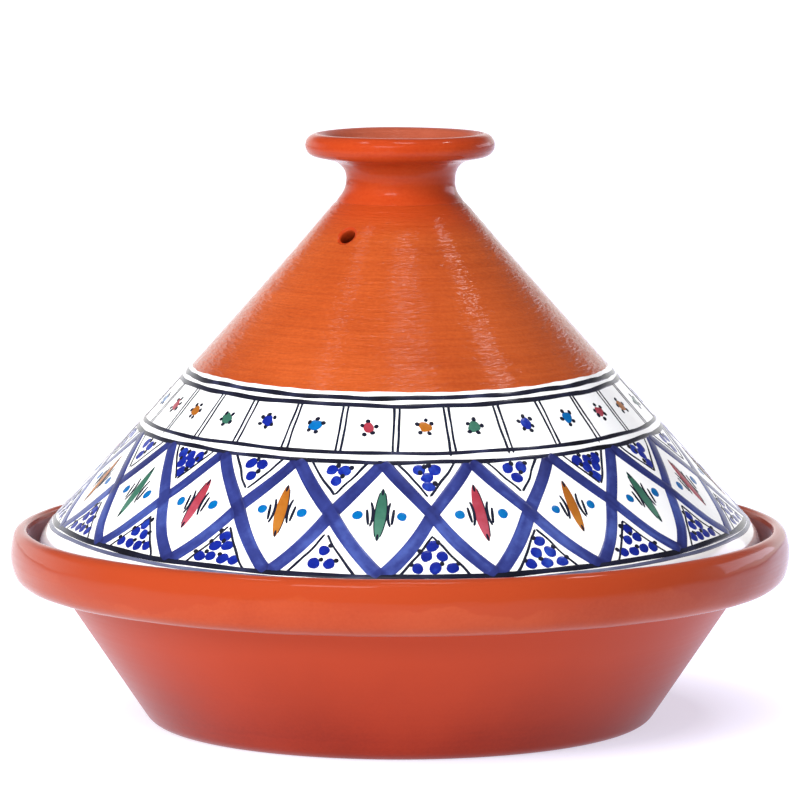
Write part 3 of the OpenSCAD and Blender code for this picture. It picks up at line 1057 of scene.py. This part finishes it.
FLOOR_HALF = 40.0
FLOOR_COLOUR = (0.29, 0.35, 0.42, 1.0)
# The lavender of the right-hand glow colours the painted shadow.
LEFT_GLOW, RIGHT_GLOW = (0.96, 0.88, 0.88, 1.0), (0.95, 0.91, 1.1, 1.0)
# the middle of the painted shadow round the pot's foot, a little right of and behind the axis
PAINTED_SHADOW_CENTRE = (0.02, 0.015, 0.0)
# Shares of the glow, each as (start, end, share at the start, share at the end)
PAINTED_SHADOW_GLOW = (0.10, 0.142, 0.67, 1.0)  # by distance from the centre; the dip round the pot's foot is a painted shadow
FAR_GLOW = (0.14, 0.6, 1.0, 1.2)  # by the same distance
BEHIND_GLOW = (-1.6, -0.35, 0.32, 1.0)  # by Y less that distance
TINT_FROM, TINT_TO = -0.25, 0.25  # by X


def make_floor():
    """A pale floor that glows as a back-lit sweep does: least round the pot's foot and in front of it.
    The dip round the foot, centred a little to the right, is a painted shadow, tinted lavender on the
    right.
    """
    mesh = bpy.data.meshes.new("floor")
    corners = [(x * FLOOR_HALF, y * FLOOR_HALF, 0) for x, y in ((-1, -1), (1, -1), (1, 1), (-1, 1))]
    mesh.from_pydata(corners, [], [(0, 1, 2, 3)])
    material, tree, shader, where = new_material("floor", Base_Color=FLOOR_COLOUR, Roughness=0.9, IOR=1.05)
    offset = add_node(tree, "ShaderNodeVectorMath", {0: where, 1: PAINTED_SHADOW_CENTRE}, operation="SUBTRACT")
    away = vector_length(tree, offset.outputs[0])
    # near is the painted shadow: a dip in the glow round the pot's foot
    near = mapped(tree, away, *PAINTED_SHADOW_GLOW)
    far = mapped(tree, away, *FAR_GLOW)
    behind = mapped(tree, maths(tree, "SUBTRACT", axis(tree, where, "Y"), away), *BEHIND_GLOW)
    glow = maths(tree, "MULTIPLY", maths(tree, "MULTIPLY", near, far), behind)
    tree.links.new(glow, shader.inputs["Emission Strength"])
    tint = mixed(tree, mapped(tree, axis(tree, where, "X"), TINT_FROM, TINT_TO), LEFT_GLOW, RIGHT_GLOW)
    tree.links.new(tint, shader.inputs["Emission Color"])
    mesh.materials.append(material)
    floor = bpy.data.objects.new("floor", mesh)
    bpy.context.scene.collection.objects.link(floor)


POT_MIDDLE = Vector((0, 0, 0.12))  # what the lamps face


def area_light(name, turn, rise, away, size, power, mirrored=True, colour=(1, 1, 1)):
    """A soft rectangular light that faces the pot's middle from away metres, at a turn and a rise in
    degrees. One that isn't mirrored gives no highlight, as light through a wide diffuser does."""
    data = bpy.data.lights.new(name, "AREA")
    data.shape = "RECTANGLE"
    data.size, data.size_y = size
    data.energy = power
    data.color = colour
    lamp = bpy.data.objects.new(name, data)
    level = away * cosd(rise)
    offset = Vector((level * sind(turn), -level * cosd(turn), away * sind(rise)))
    lamp.location = POT_MIDDLE + offset
    lamp.rotation_euler = offset.to_track_quat("Z", "Y").to_euler()
    lamp.visible_glossy = mirrored
    bpy.context.scene.collection.objects.link(lamp)


CEILING_LAMPS = ((-92, 67, 1.2), (0, 84, 1.3), (25, 82, 1.0), (47.6, 80, 1.3))  # turn, rise, power

# What the pot mirrors, from level, at 0, to straight above, at 1
ROOM = [(0.0, grey(0.12)), (0.5, grey(0.13)), (1.0, grey(0.16))]
SWEEP = [(0.0, grey(1.0)), (0.23, grey(0.95)), (0.43, grey(0.1)), (1.0, grey(0.1))]
SWEEP_STRENGTH = 1.4
SWEEP_FROM, SWEEP_TO = 0.1, 0.6  # by how far back a direction points


def make_world():
    """A white sweep low behind the pot, and a darker room above it and in front."""
    world = bpy.data.worlds.new("studio")
    world.use_nodes = True
    tree = world.node_tree
    where = add_node(tree, "ShaderNodeTexCoord").outputs["Generated"]
    up = axis(tree, where, "Z")
    room = ramp(tree, up, ROOM)
    sweep = ramp(tree, up, SWEEP)
    bright = add_node(tree, "ShaderNodeVectorMath", {0: sweep, "Scale": SWEEP_STRENGTH}, operation="SCALE")
    behind = mapped(tree, axis(tree, where, "Y"), SWEEP_FROM, SWEEP_TO)
    tree.links.new(mixed(tree, behind, room, bright.outputs[0]), tree.nodes["Background"].inputs["Color"])
    bpy.context.scene.world = world


make_floor()
make_world()
area_light("key", -30, 32, 3.0, (2.4, 1.8), 116, mirrored=False)
area_light("top", 55, 68, 3.0, (2.0, 2.0), 6, mirrored=False)
area_light("edge", 126, 10, 3.3, (2.2, 0.9), 12, colour=(0.84, 0.78, 1.0))
area_light("fill", -22, 3, 3.0, (1.8, 0.4), 34, mirrored=False)
area_light("front_strip", -6, 52, 3.0, (0.9, 0.05), 2)
area_light("window", -22, 40, 3.0, (1.1, 0.5), 12)
area_light("side_strip", 103.6, 60, 2.0, (0.34, 0.16), 2.6)
for number, (turn, rise, power) in enumerate(CEILING_LAMPS):
    area_light(f"ceiling_{number}", turn, rise, 2.0, (0.25, 0.2), power)
bpy.context.scene.view_settings.view_transform = "Standard"
